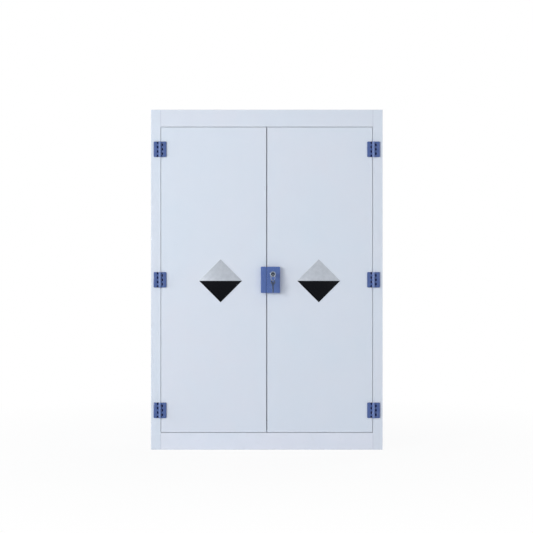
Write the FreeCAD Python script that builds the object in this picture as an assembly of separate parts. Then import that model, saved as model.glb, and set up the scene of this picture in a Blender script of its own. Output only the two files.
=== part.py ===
# A two-door storage cabinet of welded white polypropylene sheet, with blue hinges and a blue key lock.
# Millimetres. +X is right and -Y is the front. The origin is the middle of the base, on the floor.
import FreeCAD, Part
import math
import os

os.makedirs("parts", exist_ok=True)

# Case
case_width = 1124.0
case_depth = 460.0
case_height = 1650.0
wall = 8.0
frame_sheet = 10.0
stile_width = 47.0
rail_height = 83.0
plinth_height = 82.0
rib_place_shares = (-0.5, 0.0, 0.5)

# Doors
door_gap = 2.0
centre_gap = 4.0
door_sheet = 10.0
door_edge_round = 1.5
door_frame_sheet = 8.0
door_frame_width = 60.0
door_frame_inset = 2.0

# Stops that the doors close against
stop_overlap = 12.0
stop_sheet = 8.0

# Fits
seat_clearance = 0.3
running_fit = 0.05
cut_overrun = 1.0

# Hinges
hinge_spacing = 633.0
leaf_width = 31.0
leaf_height = 75.0
leaf_thickness = 5.5
leaf_corner = 4.0
barrel_radius = 7.0
barrel_lift = 0.4
axis_outboard = 4.0
knuckle_count = 7
knuckle_gap = 0.3
window_clearance = 0.4
window_reach = 4.2
window_floor = 1.2
hinge_pin_radius = 2.5
hinge_pin_recess = 0.5
bore_flats = 8
barrel_flat_count = 16

# Lock
lock_left_reach = 29.0
lock_right_reach = 64.0
lock_joint_gap = 0.6
lock_height = 127.0
lock_depth = 28.0
lock_wall = 4.0
lock_corner = 4.0
lock_edge = 1.5
cylinder_from_edge = 29.2
cylinder_rise = 27.0
cylinder_radius = 11.0
cylinder_flange_radius = 14.0
cylinder_flange = 2.5
plug_radius = 7.0
plug_proud = 0.5
plug_stub = 6.0
keyway_depth = 18.0
bolt_throw = 14.0
bolt_thickness = 5.0
bolt_set_back = 0.5
bolt_web = 4.0
bolt_tail = 18.0
cam_thickness = 2.7
cam_hub_radius = 8.0
cam_arm_width = 9.0
cam_pin_radius = 2.5
rib_sheet = 3.0

# Keys and ring
key_thickness = 2.2
key_clearance = 0.1
key_length = 64.0
key_blade_width = 8.4
key_bow_radius = 12.0
key_shoulder_width = 11.0
key_shoulder = 3.0
key_hole_radius = 4.0
key_hole_edge = 2.0
key_cut_pitch = 4.0
key_tip_land = 3.0
key_cut_shares = (0.20, 0.38, 0.26, 0.42, 0.16)
ring_radius = 14.0
ring_wire = 1.6
ring_turn = 45.0
ring_hang = 2.0

# Slide bolts inside the left door
tower_bolt_width = 12.0
tower_bolt_depth = 10.0
tower_bolt_bevel = 2.5
tower_bolt_throw = 15.0
tower_bolt_gap = 2.0
guide_width = 36.0
guide_height = 70.0
guide_plate = 3.0
guide_lug = 8.0
guide_from_edge = 34.0
guide_stop_gap = 5.0
guide_margin = 6.0
bolt_tail_length = 12.0
knob_width = 6.0
knob_height = 16.0
knob_length = 12.0
strike_width = 44.0
strike_thickness = 10.0
strike_web = 6.0
strike_hole_clearance = 0.6

# Shelves, uprights, clips and sump
shelf_count = 3
shelf_front_clearance = 55.0
shelf_back_clearance = 4.0
shelf_side_clearance = 6.0
shelf_sheet = 6.0
shelf_rim = 35.0
sump_rim = 50.0
sump_side_clearance = 4.0
upright_depth = 12.0
upright_width = 30.0
upright_base = 68.0
upright_head = 42.0
upright_inset = 25.0
slot_width = 16.0
slot_height = 8.0
slot_pitch = 100.0
slot_end = 25.0
slot_count_below_shelves = 3
slot_count_between_shelves = 4
clip_reach = 24.0
clip_tongue = 8.0
clip_root = 16.0
clip_tip = 3.0

# Planes and lines that several pieces share
front = -case_depth / 2
back = case_depth / 2
half_width = case_width / 2
inner_side = half_width - wall
frame_back = front + frame_sheet
back_inner = back - wall
opening_half = half_width - stile_width
opening_top = case_height - rail_height
opening_bottom = plinth_height
roof_under = case_height - wall
door_back = front + door_sheet + door_frame_sheet
stop_front = door_back + seat_clearance
stop_back = stop_front + stop_sheet
door_low = opening_bottom + door_gap
door_high = opening_top - door_gap
door_free_edge = centre_gap / 2
door_hinge_edge = opening_half - door_gap
door_middle = (opening_bottom + opening_top) / 2
hinge_heights = [door_middle + step * hinge_spacing for step in (-1, 0, 1)]
hinge_x = opening_half - door_gap / 2 + axis_outboard
hinge_lift = barrel_radius + barrel_lift
hinge_y = front - hinge_lift

X = FreeCAD.Vector(1, 0, 0)
Y = FreeCAD.Vector(0, 1, 0)
Z = FreeCAD.Vector(0, 0, 1)


def box(x, y, z):
    """A block between two places on each axis, given in either order."""
    low = FreeCAD.Vector(min(x), min(y), min(z))
    return Part.makeBox(abs(x[1] - x[0]), abs(y[1] - y[0]), abs(z[1] - z[0]), low)


def rod(radius, start, axis, length):
    """A round bar from a start point along an axis."""
    return Part.makeCylinder(radius, length, start, axis)


def sheet(points, thickness):
    """A flat piece cut to an outline, with its thickness as a vector."""
    face = Part.Face(Part.makePolygon(points + [points[0]]))
    return face.extrude(thickness)


def edges_along(shape, axis):
    """The straight edges of a shape that run along an axis."""
    found = []
    for edge in shape.Edges:
        run = edge.Vertexes[-1].Point - edge.Vertexes[0].Point
        if run.Length > 0 and abs(abs(run.normalize().dot(axis)) - 1) < 1e-6:
            found.append(edge)
    return found


def edges_at_front(shape):
    """The edges that lie in the foremost plane of a shape."""
    foremost = shape.BoundBox.YMin
    reach = shape.BoundBox.YLength * 1e-4
    return [edge for edge in shape.Edges if edge.BoundBox.YMax < foremost + reach]


def save(name, shape):
    """Write one sub-part. A list of solids is written as one group."""
    if isinstance(shape, list):
        shape = Part.makeCompound(shape)
    shape.exportStep("parts/" + name + ".step")


def both_sides(name, make):
    """Make the same sheet for the left and the right of the case."""
    save("left_" + name, make(-1))
    save("right_" + name, make(1))


def side_panel(side):
    """A side of the case, from the floor to the roof, behind its stile."""
    return box((side * inner_side, side * half_width), (frame_back, back_inner), (0, roof_under))


def stile(side):
    """A full-height upright of the front frame."""
    return box((side * opening_half, side * half_width), (front, frame_back), (0, case_height))


def cross_rail(low, high):
    """A rail of the front frame, butted between the stiles."""
    return box((-opening_half, opening_half), (front, frame_back), (low, high))


def base_ribs():
    """Ribs on edge under the floor panel. The cabinet stands on them and on the edges of its walls."""
    ribs = []
    for share in rib_place_shares:
        middle = share * inner_side
        rib_x = (middle - wall / 2, middle + wall / 2)
        ribs.append(box(rib_x, (frame_back, back_inner), (0, plinth_height - wall)))
    return ribs


def side_stop(side):
    """An angle behind a stile: a reveal beside the door edge and a flange behind the door."""
    rows = (plinth_height, roof_under)
    reveal = box((opening_half, opening_half + stop_sheet), (frame_back, stop_front), rows)
    flange = box((opening_half - stop_overlap, inner_side), (stop_front, stop_back), rows)
    angle = reveal.fuse(flange).removeSplitter()
    return angle if side > 0 else angle.mirror(FreeCAD.Vector(), X)


def top_stop():
    """The same angle under the top rail, cut between the two side flanges."""
    across = (-opening_half + stop_overlap, opening_half - stop_overlap)
    reveal = box(across, (frame_back, stop_front), (opening_top, opening_top + stop_sheet))
    flange = box(across, (stop_front, stop_back), (opening_top - stop_overlap, roof_under))
    return reveal.fuse(flange).removeSplitter()


def bottom_stop():
    """A strip that stands on the floor behind the lower edge of the doors."""
    across = (-opening_half + stop_overlap, opening_half - stop_overlap)
    return box(across, (stop_front, stop_back), (plinth_height, door_low + stop_overlap))


def tray(half_x, y, low, rim):
    """An open tray welded from flat sheet."""
    outer = box((-half_x, half_x), y, (low, low + rim))
    inside_x = half_x - shelf_sheet
    inside_y = (min(y) + shelf_sheet, max(y) - shelf_sheet)
    return outer.cut(box((-inside_x, inside_x), inside_y, (low + shelf_sheet, low + rim + cut_overrun)))


shelf_y = (front + shelf_front_clearance, back_inner - shelf_back_clearance)
upright_face = inner_side - upright_depth
upright_low = plinth_height + upright_base
upright_high = roof_under - upright_head
slot_low = upright_low + slot_end
slot_total = int((upright_high - slot_end - slot_low) / slot_pitch) + 1
clip_half_width = slot_width / 2 - seat_clearance
clip_half_height = slot_height / 2 - seat_clearance


def shelf_slot(number):
    """The height of the slot line that carries a shelf."""
    return slot_low + (slot_count_below_shelves + number * slot_count_between_shelves) * slot_pitch


def upright_places():
    """The two depths at which uprights stand on each side."""
    front_centre = shelf_y[0] + upright_inset + upright_width / 2
    rear_centre = shelf_y[1] - upright_inset - upright_width / 2
    return {"front": front_centre, "rear": rear_centre}


def upright(side, centre):
    """A slotted strip on the inside of a side panel."""
    strip_y = (centre - upright_width / 2, centre + upright_width / 2)
    strip = box((side * upright_face, side * inner_side), strip_y, (upright_low, upright_high))
    slots = []
    for number in range(slot_total):
        middle = slot_low + number * slot_pitch
        through = (side * (upright_face - cut_overrun), side * (inner_side + cut_overrun))
        across = (centre - slot_width / 2, centre + slot_width / 2)
        slots.append(box(through, across, (middle - slot_height / 2, middle + slot_height / 2)))
    return strip.cut(slots)


def shelf_clip(side, centre, height):
    """A clip whose tongue sits in a slot and whose top carries a shelf corner."""
    outline = [
        (-clip_tongue, clip_half_height),
        (clip_reach, clip_half_height),
        (clip_reach, -clip_tip),
        (0, -clip_root),
        (0, -clip_half_height),
        (-clip_tongue, -clip_half_height),
    ]
    start = centre - clip_half_width
    points = [FreeCAD.Vector(side * (upright_face - inward), start, height + up) for inward, up in outline]
    return sheet(points, Y * (2 * clip_half_width))


def knuckle_span(number):
    """The lower and upper ends of one knuckle's share of the barrel."""
    pitch = leaf_height / knuckle_count
    high = leaf_height / 2 - number * pitch
    return high - pitch, high


def barrel_prism(corner_radius, flats, low, high):
    """A many-sided bar on the hinge axis between two heights."""
    turn = 2 * math.pi / flats
    points = []
    for flat in range(flats):
        angle = (flat + 1 / 2) * turn
        across = corner_radius * math.cos(angle)
        points.append(FreeCAD.Vector(across, corner_radius * math.sin(angle) - hinge_lift, low))
    return sheet(points, Z * (high - low))


def pin_bore():
    """The bore of a hinge barrel. Its flats bear on the pin with a running fit."""
    corner_radius = (hinge_pin_radius + running_fit) / math.cos(math.pi / bore_flats)
    return barrel_prism(corner_radius, bore_flats, -leaf_height, leaf_height)


def hinge_leaf(side, first):
    """A moulded hinge leaf: a plate, every second knuckle and a window beside each of the others."""
    plate = box((0, side * leaf_width), (-leaf_thickness, 0), (-leaf_height / 2, leaf_height / 2))
    corners = [e for e in edges_along(plate, Y) if abs(e.Vertexes[0].X) > leaf_width / 2]
    plate = plate.makeFillet(leaf_corner, corners)
    foot_x = (-side * cut_overrun, side * barrel_radius)
    foot = box(foot_x, (-barrel_lift, cut_overrun), (-leaf_height, leaf_height))
    plate = plate.cut(foot)
    own = []
    cuts = []
    for number in range(knuckle_count):
        low, high = knuckle_span(number)
        if number % 2 == first:
            ends = (low + knuckle_gap / 2, high - knuckle_gap / 2)
            own.append(barrel_prism(barrel_radius, barrel_flat_count, ends[0], ends[1]))
            continue
        rows = (low - knuckle_gap / 2, high + knuckle_gap / 2)
        through = side * (barrel_radius + window_clearance)
        past = -side * cut_overrun
        cuts.append(box((past, through), (-leaf_thickness - cut_overrun, cut_overrun), rows))
        pocket_y = (-leaf_thickness - cut_overrun, -window_floor)
        cuts.append(box((past, through + side * window_reach), pocket_y, rows))
    return plate.cut(cuts).fuse(own).removeSplitter().cut(pin_bore())


def placed(shape, x, y, z):
    """A copy of a shape moved to a place."""
    copy = shape.copy()
    copy.translate(FreeCAD.Vector(x, y, z))
    return copy


def hinge_column(side, word):
    """The three equal hinges of one door. The right-hand leaf carries the odd knuckles on both doors."""
    leaves = {-1: hinge_leaf(-1, 1), 1: hinge_leaf(1, 0)}
    x = side * hinge_x
    foot_drop = leaf_height / 2 - hinge_pin_recess
    pin_length = leaf_height - 2 * hinge_pin_recess
    feet = [FreeCAD.Vector(x, hinge_y, height - foot_drop) for height in hinge_heights]
    pins = [rod(hinge_pin_radius, foot, Z, pin_length) for foot in feet]
    save(word + "_hinge_frame_leaves", [placed(leaves[side], x, front, height) for height in hinge_heights])
    save(word + "_hinge_door_leaves", [placed(leaves[-side], x, front, height) for height in hinge_heights])
    save(word + "_hinge_pins", pins)


def door_panel(side):
    """The outer sheet of a door, with its front edges eased."""
    across = (side * door_free_edge, side * door_hinge_edge)
    panel = box(across, (front, front + door_sheet), (door_low, door_high))
    return panel.makeFillet(door_edge_round, edges_at_front(panel))


def door_frame(side):
    """The stiffening ring welded to the back of a door."""
    near = door_free_edge + door_frame_inset
    far = door_hinge_edge - door_frame_inset
    low = door_low + door_frame_inset
    high = door_high - door_frame_inset
    ring_y = (front + door_sheet, door_back)
    ring = box((side * near, side * far), ring_y, (low, high))
    cut_y = (min(ring_y) - cut_overrun, max(ring_y) + cut_overrun)
    inside_x = (side * (near + door_frame_width), side * (far - door_frame_width))
    return ring.cut(box(inside_x, cut_y, (low + door_frame_width, high - door_frame_width)))


# The lock stands on the door faces. Its depths are counted outwards from the door face.
keyhole_x = lock_joint_gap / 2 + cylinder_from_edge
keyhole_z = door_middle + cylinder_rise
bolt_out = (seat_clearance, seat_clearance + bolt_thickness)
cam_out = (bolt_out[1] + seat_clearance, bolt_out[1] + seat_clearance + cam_thickness)
cylinder_end = cam_out[1] + seat_clearance
flange_out = lock_depth + cylinder_flange
plug_face = flange_out + plug_proud
cam_lead = bolt_throw * (math.sin(math.acos(2 / math.pi)) - math.acos(2 / math.pi) * 2 / math.pi)
yoke_half = cam_pin_radius + seat_clearance
yoke_low = keyhole_z - bolt_throw - yoke_half
yoke_high = keyhole_z + yoke_half
yoke_left = keyhole_x - cam_lead - yoke_half
yoke_right = keyhole_x + yoke_half
bolt_low = yoke_low - bolt_web
bolt_high = yoke_high + bolt_web
lock_z = (door_middle - lock_height / 2, door_middle + lock_height / 2)


def outward(near, far):
    """Two depths out from the door face, as places on Y."""
    return front - near, front - far


def lock_shell(x):
    """A moulded lock block, hollow from the back, with rounded front edges and corners."""
    block = box(x, outward(0, lock_depth), lock_z)
    block = block.makeFillet(lock_corner, edges_along(block, Y))
    block = block.makeChamfer(lock_edge, edges_at_front(block))
    hollow_x = (min(x) + lock_wall, max(x) - lock_wall)
    hollow_z = (lock_z[0] + lock_wall, lock_z[1] - lock_wall)
    return block.cut(box(hollow_x, outward(-cut_overrun, lock_depth - lock_wall), hollow_z))


def bolt_slot(x):
    """The opening in a lock wall that the bolt passes through."""
    slot_y = outward(-cut_overrun, bolt_out[1] + seat_clearance)
    return box(x, slot_y, (bolt_low - seat_clearance, bolt_high + seat_clearance))


def lock_case():
    """The right-hand block: keyhole, bolt slot and the two ribs that guide the bolt."""
    left = lock_joint_gap / 2
    case = lock_shell((left, lock_right_reach))
    hole_start = FreeCAD.Vector(keyhole_x, front - lock_depth - cut_overrun, keyhole_z)
    hole = rod(cylinder_radius + running_fit, hole_start, Y, lock_wall + 2 * cut_overrun)
    slot = bolt_slot((left - cut_overrun, left + lock_wall + cut_overrun))
    rib_x = (left + lock_wall, lock_right_reach - lock_wall)
    rib_y = outward(0, bolt_out[1])
    upper = box(rib_x, rib_y, (bolt_high + seat_clearance, bolt_high + seat_clearance + rib_sheet))
    lower = box(rib_x, rib_y, (bolt_low - seat_clearance - rib_sheet, bolt_low - seat_clearance))
    return case.fuse([upper, lower]).cut([hole, slot]).removeSplitter()


def lock_keeper():
    """The left-hand block that receives the bolt."""
    right = -lock_joint_gap / 2
    keeper = lock_shell((-lock_left_reach, right))
    return keeper.cut(bolt_slot((right - lock_wall - cut_overrun, right + cut_overrun)))


def lock_cylinder():
    """The fixed barrel of the lock with its front flange, bored for the plug."""
    centre = FreeCAD.Vector(keyhole_x, front - flange_out, keyhole_z)
    flange = rod(cylinder_flange_radius, centre, Y, cylinder_flange)
    rim = [e for e in edges_at_front(flange) if e.Length > 0]
    flange = flange.makeChamfer(cylinder_flange / 3, rim)
    barrel = rod(cylinder_radius, centre, Y, flange_out - cylinder_end)
    bore_start = FreeCAD.Vector(keyhole_x, front - flange_out - cut_overrun, keyhole_z)
    bore = rod(plug_radius + running_fit, bore_start, Y, flange_out + cut_overrun)
    return flange.fuse(barrel).removeSplitter().cut(bore)


def key_plug():
    """The turning plug, with its keyway and the square stub that carries the cam."""
    face = FreeCAD.Vector(keyhole_x, front - plug_face, keyhole_z)
    plug = rod(plug_radius, face, Y, plug_face - cylinder_end)
    half_stub = plug_stub / 2
    stub_x = (keyhole_x - half_stub, keyhole_x + half_stub)
    stub_z = (keyhole_z - half_stub, keyhole_z + half_stub)
    stub = box(stub_x, outward(cylinder_end, cam_out[0]), stub_z)
    half_wide = key_thickness / 2 + key_clearance
    half_tall = key_blade_width / 2 + key_clearance
    way_x = (keyhole_x - half_wide, keyhole_x + half_wide)
    way_z = (keyhole_z - half_tall, keyhole_z + half_tall)
    way = box(way_x, outward(plug_face + cut_overrun, plug_face - keyway_depth), way_z)
    return plug.fuse(stub).removeSplitter().cut(way)


def lock_cam():
    """The cam on the plug's stub. Its pin stands in the bolt's yoke."""
    outer = FreeCAD.Vector(keyhole_x, front - cam_out[1], keyhole_z)
    hub = rod(cam_hub_radius, outer, Y, cam_thickness)
    tip = FreeCAD.Vector(keyhole_x, front - cam_out[1], keyhole_z - bolt_throw)
    end = rod(cam_arm_width / 2, tip, Y, cam_thickness)
    arm_x = (keyhole_x - cam_arm_width / 2, keyhole_x + cam_arm_width / 2)
    arm = box(arm_x, outward(cam_out[0], cam_out[1]), (keyhole_z - bolt_throw, keyhole_z))
    pin_start = FreeCAD.Vector(keyhole_x, front - cam_out[0], keyhole_z - bolt_throw)
    pin = rod(cam_pin_radius, pin_start, Y, cam_out[0] - bolt_out[0] - seat_clearance)
    half_stub = plug_stub / 2
    stub_x = (keyhole_x - half_stub, keyhole_x + half_stub)
    stub_z = (keyhole_z - half_stub, keyhole_z + half_stub)
    seat = box(stub_x, outward(cam_out[0] - cut_overrun, cam_out[1] + cut_overrun), stub_z)
    return hub.fuse([end, arm]).removeSplitter().cut(seat).fuse(pin).removeSplitter()


def lock_bolt():
    """The flat sliding bolt, drawn back, with the upright yoke that the cam's pin works in."""
    nose_end = lock_joint_gap / 2 + bolt_set_back
    plate = box((nose_end, yoke_right + bolt_tail), outward(bolt_out[0], bolt_out[1]), (bolt_low, bolt_high))
    yoke_y = outward(bolt_out[0] - cut_overrun, bolt_out[1] + cut_overrun)
    return plate.cut(box((yoke_left, yoke_right), yoke_y, (yoke_low, yoke_high)))


def key_blank():
    """A key standing on its tip at the origin, with its thickness along X and its width along Y."""
    half_blade = key_blade_width / 2
    bow_foot = key_length - 2 * key_bow_radius
    outline = [(-half_blade, bow_foot), (-half_blade, key_tip_land), (0, 0), (half_blade, key_tip_land)]
    for number, share in enumerate(key_cut_shares):
        base = key_tip_land + (number + 1) * key_cut_pitch
        outline.append((half_blade - share * key_blade_width, base - key_cut_pitch / 2))
        outline.append((half_blade, base))
    outline.append((half_blade, bow_foot))
    start = -key_thickness / 2
    points = [FreeCAD.Vector(start, across, up) for across, up in outline]
    blade = sheet(points, X * key_thickness)
    half_shoulder = key_shoulder_width / 2
    shoulder_z = (bow_foot - key_shoulder, bow_foot + key_bow_radius)
    shoulder = box((start, -start), (-half_shoulder, half_shoulder), shoulder_z)
    bow = rod(key_bow_radius, FreeCAD.Vector(start, 0, key_length - key_bow_radius), X, key_thickness)
    hole_start = FreeCAD.Vector(start - cut_overrun, 0, key_length - key_hole_edge - key_hole_radius)
    hole = rod(key_hole_radius, hole_start, X, key_thickness + 2 * cut_overrun)
    return blade.fuse([shoulder, bow]).removeSplitter().cut(hole)


key_tip_out = plug_face - keyway_depth + seat_clearance
key_hole_out = key_tip_out + key_length - key_hole_edge - key_hole_radius
ring_top = keyhole_z - ring_hang
ring_bottom = ring_top - 2 * ring_radius


def door_key():
    """The key in the lock, edge on to the front."""
    key = key_blank()
    key.rotate(FreeCAD.Vector(), X, 90)
    return placed(key, keyhole_x, front - key_tip_out, keyhole_z)


def spare_key():
    """The second key, hanging from the ring with its flat side to the front."""
    key = key_blank()
    key.rotate(FreeCAD.Vector(), Z, 90)
    hole_up = key_length - key_hole_edge - key_hole_radius
    return placed(key, keyhole_x, front - key_hole_out, ring_bottom - ring_hang - hole_up)


def key_ring():
    """The ring of flat wire through both keys, turned half way between them."""
    half = ring_wire / 2
    centre = FreeCAD.Vector(0, -half, 0)
    outer = rod(ring_radius + half, centre, Y, ring_wire)
    ring = outer.cut(rod(ring_radius - half, centre, Y, ring_wire))
    ring.rotate(FreeCAD.Vector(), Z, ring_turn)
    return placed(ring, keyhole_x, front - key_hole_out, ring_top - ring_radius)


tower_x = -(door_free_edge + guide_from_edge)
tower_low_y = stop_back + tower_bolt_gap
tower_high_y = tower_low_y + tower_bolt_depth


def bar(clearance, z):
    """The section of a slide bolt between two heights, with an allowance all round."""
    half = tower_bolt_width / 2 + clearance
    return box((tower_x - half, tower_x + half), (tower_low_y - clearance, tower_high_y + clearance), z)


def guide_block(up, tip):
    """The bracket of a slide bolt: a plate on the door frame and two lugs. up is 1 or -1."""
    end = tip - up * guide_stop_gap
    start = end - up * guide_height
    plate_x = (tower_x - guide_width / 2, tower_x + guide_width / 2)
    plate = box(plate_x, (door_back, door_back + guide_plate), (start, end))
    lug_half = tower_bolt_width / 2 + strike_web
    lug_x = (tower_x - lug_half, tower_x + lug_half)
    lug_y = (door_back + guide_plate, tower_high_y + guide_plate)
    lug_feet = (end - up * guide_margin, start + up * (guide_margin + guide_lug))
    lugs = [box(lug_x, lug_y, (foot, foot - up * guide_lug)) for foot in lug_feet]
    return plate.fuse(lugs).removeSplitter().cut(bar(seat_clearance, (start, end)))


def slide_bolt(up, tip):
    """The bar of a slide bolt, drawn back, with the thumb piece that moves it. up is 1 or -1."""
    foot = tip - up * (guide_stop_gap + guide_height + bolt_tail_length)
    bolt = bar(0, (foot, tip))
    near_tip = [e for e in bolt.Edges if abs(e.BoundBox.ZMin - tip) < cut_overrun]
    bolt = bolt.makeChamfer(tower_bolt_bevel, [e for e in near_tip if e.BoundBox.ZLength < cut_overrun])
    middle = tip - up * (guide_stop_gap + guide_height / 2 + tower_bolt_throw / 2)
    knob_x = (tower_x - knob_width / 2, tower_x + knob_width / 2)
    knob_z = (middle - knob_height / 2, middle + knob_height / 2)
    knob = box(knob_x, (tower_low_y, tower_high_y + knob_length), knob_z)
    return bolt.fuse(knob).removeSplitter()


def bolt_strike(low):
    """A holed plate welded behind a stop, which the slide bolt enters."""
    strike_x = (tower_x - strike_width / 2, tower_x + strike_width / 2)
    plate = box(strike_x, (stop_back, tower_high_y + strike_web), (low, low + strike_thickness))
    return plate.cut(bar(strike_hole_clearance, (low - cut_overrun, low + strike_thickness + cut_overrun)))


def build_case():
    """The welded shell, its front frame and the stops."""
    both_sides("side_panel", side_panel)
    both_sides("stile", stile)
    both_sides("door_stop", side_stop)
    save("top_panel", box((-half_width, half_width), (frame_back, back_inner), (roof_under, case_height)))
    save("back_panel", box((-half_width, half_width), (back_inner, back), (0, case_height)))
    floor_z = (plinth_height - wall, plinth_height)
    save("floor_panel", box((-inner_side, inner_side), (frame_back, back_inner), floor_z))
    save("base_ribs", base_ribs())
    save("top_rail", cross_rail(opening_top, case_height))
    save("plinth_rail", cross_rail(0, plinth_height))
    save("top_door_stop", top_stop())
    save("bottom_door_stop", bottom_stop())


def build_interior():
    """The sump, the uprights, the clips and the shelf trays."""
    save("sump_tray", tray(inner_side - sump_side_clearance, shelf_y, plinth_height, sump_rim))
    clips = []
    for word, centre in upright_places().items():
        for side, side_word in ((-1, "left"), (1, "right")):
            save(side_word + "_" + word + "_upright", upright(side, centre))
            for number in range(shelf_count):
                clips.append(shelf_clip(side, centre, shelf_slot(number)))
    save("shelf_clips", clips)
    for number in range(shelf_count):
        seat = shelf_slot(number) + clip_half_height + seat_clearance
        half_x = upright_face - shelf_side_clearance
        save("shelf_tray_" + str(number + 1), tray(half_x, shelf_y, seat, shelf_rim))


def build_doors():
    """The door leaves with their back frames."""
    both_sides("door_panel", door_panel)
    both_sides("door_frame", door_frame)


def build_lock():
    """The two lock blocks, the mechanism, the keys and the ring."""
    save("lock_case", lock_case())
    save("lock_keeper", lock_keeper())
    save("lock_cylinder", lock_cylinder())
    save("key_plug", key_plug())
    save("lock_cam", lock_cam())
    save("lock_bolt", lock_bolt())
    save("door_key", door_key())
    save("key_ring", key_ring())
    save("spare_key", spare_key())


def build_slide_bolts():
    """The two slide bolts that hold the left door shut from inside."""
    top_tip = opening_top - stop_overlap - tower_bolt_gap
    bottom_tip = door_low + stop_overlap + tower_bolt_gap
    save("top_bolt_guide", guide_block(1, top_tip))
    save("bottom_bolt_guide", guide_block(-1, bottom_tip))
    save("top_slide_bolt", slide_bolt(1, top_tip))
    save("bottom_slide_bolt", slide_bolt(-1, bottom_tip))
    save("top_bolt_strike", bolt_strike(top_tip + tower_bolt_gap + tower_bolt_gap))
    save("bottom_bolt_strike", bolt_strike(plinth_height))


build_case()
build_interior()
build_doors()
hinge_column(-1, "left")
hinge_column(1, "right")
build_lock()
build_slide_bolts()
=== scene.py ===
import math

import bmesh
import bpy
from mathutils import Matrix, Vector


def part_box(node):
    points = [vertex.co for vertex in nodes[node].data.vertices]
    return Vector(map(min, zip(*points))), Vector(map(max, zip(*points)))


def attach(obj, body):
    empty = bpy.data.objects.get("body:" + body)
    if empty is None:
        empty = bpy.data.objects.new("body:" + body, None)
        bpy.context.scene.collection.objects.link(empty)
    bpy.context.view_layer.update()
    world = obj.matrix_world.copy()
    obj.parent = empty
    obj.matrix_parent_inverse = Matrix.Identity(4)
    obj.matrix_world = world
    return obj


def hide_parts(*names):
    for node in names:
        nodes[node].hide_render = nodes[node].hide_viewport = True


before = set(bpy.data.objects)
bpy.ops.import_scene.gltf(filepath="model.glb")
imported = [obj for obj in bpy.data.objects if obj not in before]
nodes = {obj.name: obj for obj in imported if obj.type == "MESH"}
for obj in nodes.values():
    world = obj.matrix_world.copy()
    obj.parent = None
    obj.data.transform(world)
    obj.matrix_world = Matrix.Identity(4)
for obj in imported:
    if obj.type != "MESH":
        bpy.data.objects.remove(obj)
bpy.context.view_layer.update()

# The case is white polypropylene sheet, sawn to size and welded with hot air. It is extruded, so
# its satin face has a fine grain, faint streaks along its run and slow clouds of tone. Its sawn
# edges are scraped round, and a highlight is painted on them in a paler colour.
SHEET_WHITE = (213, 221, 232)
SHEET_COOL = (207, 219, 231)
SHEET_WARM = (217, 219, 229)
SHEET_EDGE_HIGHLIGHT = (222, 229, 239)
SHEET_SCUFF = (203, 207, 214)
SCRAPED_EDGE = 0.0011
SCUFF_HEIGHT = 0.16
SATIN = 0.50
GRAIN_RELIEF = 0.0003
SWAY_RELIEF = 0.0009
PLASTIC_IOR = 1.49


class Wire:
    """A node's output. An expression on wires and numbers adds the Math nodes that work it out."""

    def __init__(self, finish, socket):
        self.finish = finish
        self.socket = socket

    def sum_of(self, operation, first, second):
        return self.finish.node("Math", {"operation": operation}, {0: first, 1: second})

    def __add__(self, other):
        return self.sum_of("ADD", self, other)

    def __radd__(self, other):
        return self.sum_of("ADD", other, self)

    def __sub__(self, other):
        return self.sum_of("SUBTRACT", self, other)

    def __rsub__(self, other):
        return self.sum_of("SUBTRACT", other, self)

    def __mul__(self, other):
        return self.sum_of("MULTIPLY", self, other)

    def __rmul__(self, other):
        return self.sum_of("MULTIPLY", other, self)

    def __truediv__(self, other):
        return self.sum_of("DIVIDE", self, other)

    def __pow__(self, other):
        return self.sum_of("POWER", self, other)

    def __abs__(self):
        return self.sum_of("ABSOLUTE", self, 0)

    def kept(self):
        """The same number, held between 0 and 1."""
        return self.finish.node("Clamp", {}, {"Value": self})


class Finish:
    """A surface finish, built node by node on the coordinates of the piece that wears it."""

    def __init__(self, name):
        self.material = bpy.data.materials.new(name)
        self.material.use_nodes = True
        self.tree = self.material.node_tree
        self.tree.nodes.clear()
        self.place = self.node("TexCoord", {}, {}, "Object")

    def node(self, kind, settings, sockets, output=0):
        """Add a node: its settings first, then its sockets, each a value or a wire."""
        made = self.tree.nodes.new("ShaderNode" + kind)
        for name, value in settings.items():
            setattr(made, name, value)
        for name, value in sockets.items():
            if isinstance(value, Wire):
                self.tree.links.new(value.socket, made.inputs[name])
            else:
                made.inputs[name].default_value = value
        return Wire(self, made.outputs[output]) if made.outputs else None

    def stretched(self, x, y, z):
        """The piece's coordinates, scaled on each axis. A small scale makes a pattern run long."""
        return self.node("Mapping", {}, {"Vector": self.place, "Scale": (x, y, z)})

    def noise(self, scale, detail, place=None):
        """Cloudy noise from 0 to 1. The scale is in clouds per metre."""
        sockets = {"Vector": place or self.place, "Scale": scale, "Detail": detail}
        return self.node("TexNoise", {}, sockets)

    def patches(self, scale, detail, low, high, place=None):
        """Noise turned into soft patches: 0 below the low level and 1 above the high one."""
        return ((self.noise(scale, detail, place) - low) / (high - low)).kept()

    def axis(self, name):
        """One of the piece's coordinates, in metres."""
        return self.node("SeparateXYZ", {}, {0: self.place}, name)

    def rounded(self, radius):
        """The surface normal with sharp edges rounded over, and a mask that is 1 on those edges."""
        eased = self.node("Bevel", {"samples": 6}, {"Radius": radius})
        flat = self.node("NewGeometry", {}, {}, "Normal")
        settings = {"operation": "DOT_PRODUCT"}
        along = self.node("VectorMath", settings, {0: eased, 1: flat}, "Value")
        return eased, ((1 - along) * 6).kept()

    def mixed(self, share, first, second):
        """Two colours mixed by a share from 0 to 1."""
        return self.node("Mix", {"data_type": "RGBA"}, {0: share, 6: first, 7: second}, 2)

    def bumped(self, height, distance, normal):
        """A normal with relief: the height is from 0 to 1 and the distance is in metres."""
        return self.node("Bump", {}, {"Height": height, "Distance": distance, "Normal": normal})

    def done(self, sockets):
        """Close the finish with its shader."""
        shader = self.node("BsdfPrincipled", {}, sockets)
        self.node("OutputMaterial", {}, {"Surface": shader})
        return self.material


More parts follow.
